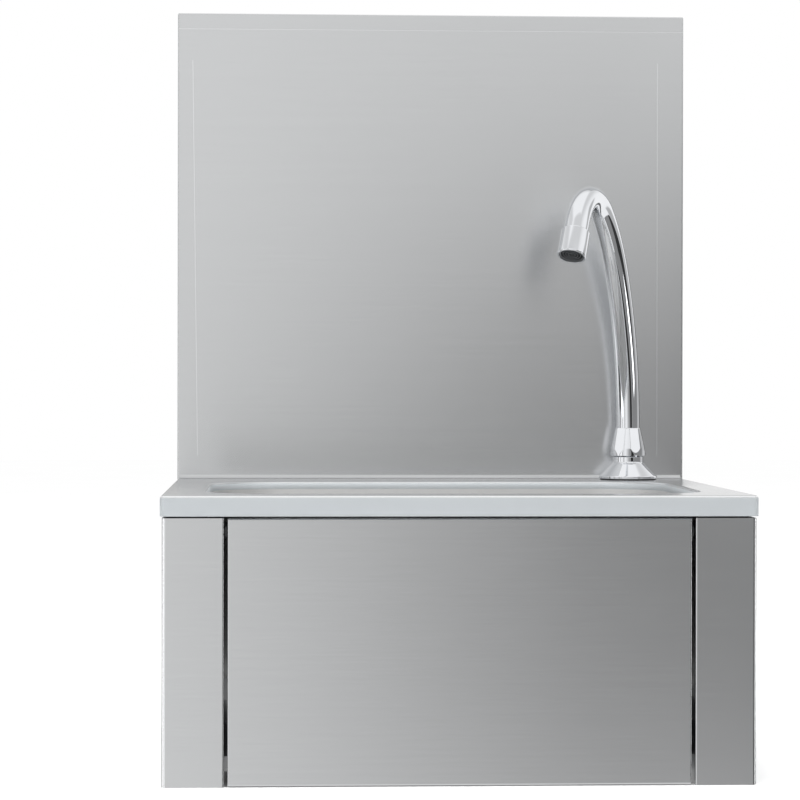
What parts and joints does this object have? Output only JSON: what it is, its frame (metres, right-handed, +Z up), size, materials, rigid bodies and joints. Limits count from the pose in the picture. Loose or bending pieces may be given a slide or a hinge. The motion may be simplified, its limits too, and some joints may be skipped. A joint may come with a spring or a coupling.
{
  "type": "knee-operated hand-wash sink",
  "caption": "Compact stainless hand-wash sink with splashback, drawn bowl, swivel goose-neck spout and a knee-pushed front panel that opens a self-closing valve.",
  "frame": {"origin": "centre of the cabinet's footprint, on the plane that its bottom flanges stand on", "axes": "+Z up, +X to the user's right, -Y towards the user, the splashback along the +Y side"},
  "size_m": [0.4, 0.34, 0.56],
  "materials": {
    "brushed_stainless": "fine brushed, satin",
    "chrome": "polished chrome plate",
    "brass": "machined",
    "plain_steel": "bright zinc and stainless fasteners",
    "black_rubber": "matt",
    "nylon": "natural nylon",
    "dark_plastic": "moulded",
    "white_plastic": "moulded polypropylene",
    "braided_hose": "stainless wire braid over rubber"
  },
  "bodies": {
    "cabinet": {"worktop": "brushed_stainless", "bowl": "brushed_stainless", "left_side_panel": "brushed_stainless", "right_side_panel": "brushed_stainless", "back_panel": "brushed_stainless", "left_deck_rail": "brushed_stainless", "right_deck_rail": "brushed_stainless", "front_deck_rail": "brushed_stainless", "hinge_pins": "plain_steel", "hinge_clips": "plain_steel", "stop_bumpers": "black_rubber", "valve_bracket": "brushed_stainless", "bracket_screws": "plain_steel", "valve_body": "brass", "valve_lock_nut": "brass", "valve_bonnet": "brass", "valve_spring": "plain_steel", "supply_hose": "braided_hose", "hose_ferrules": "plain_steel", "hose_nuts": "plain_steel", "base_gasket": "black_rubber", "tap_base": "chrome", "swivel_nut": "chrome", "shank_washer": "plain_steel", "shank_nut": "brass", "strainer_gasket": "black_rubber", "waste_strainer": "brushed_stainless", "strainer_screw": "plain_steel", "waste_gasket": "black_rubber", "waste_body": "white_plastic"},
    "knee_panel": {"knee_panel": "brushed_stainless", "knee_crossbar": "brushed_stainless", "push_pad": "nylon", "hinge_bushes": "dark_plastic"},
    "plunger": {"valve_plunger": "brass", "plunger_rings": "black_rubber"},
    "spout": {"spout_tube": "chrome", "spout_plug": "brass", "spout_rings": "black_rubber", "aerator_housing": "chrome", "aerator_insert": "dark_plastic", "aerator_gasket": "black_rubber"}
  },
  "joints": [
    {"name": "knee_swing", "type": "hinge", "parent": "cabinet", "child": "knee_panel", "pos_m": [0, -0.158, 0.17], "axis": [1, 0, 0], "range_deg": [0, 5]},
    {"name": "plunger_slide", "type": "slide", "parent": "cabinet", "child": "plunger", "axis": [0, 1, 0], "range_m": [0, 0.01225], "stiffness_N_per_m": 1000, "springref_m": -0.008, "deforming": ["valve_spring"]},
    {"name": "spout_swivel", "type": "hinge", "parent": "cabinet", "child": "spout", "pos_m": [0.153, 0.142, 0.22], "axis": [0, 0, 1], "range_deg": [-64, 115]}
  ],
  "couplings": [
    {"joint": "plunger_slide", "follows": "knee_swing", "m_per_rad": 0.14}
  ]
}
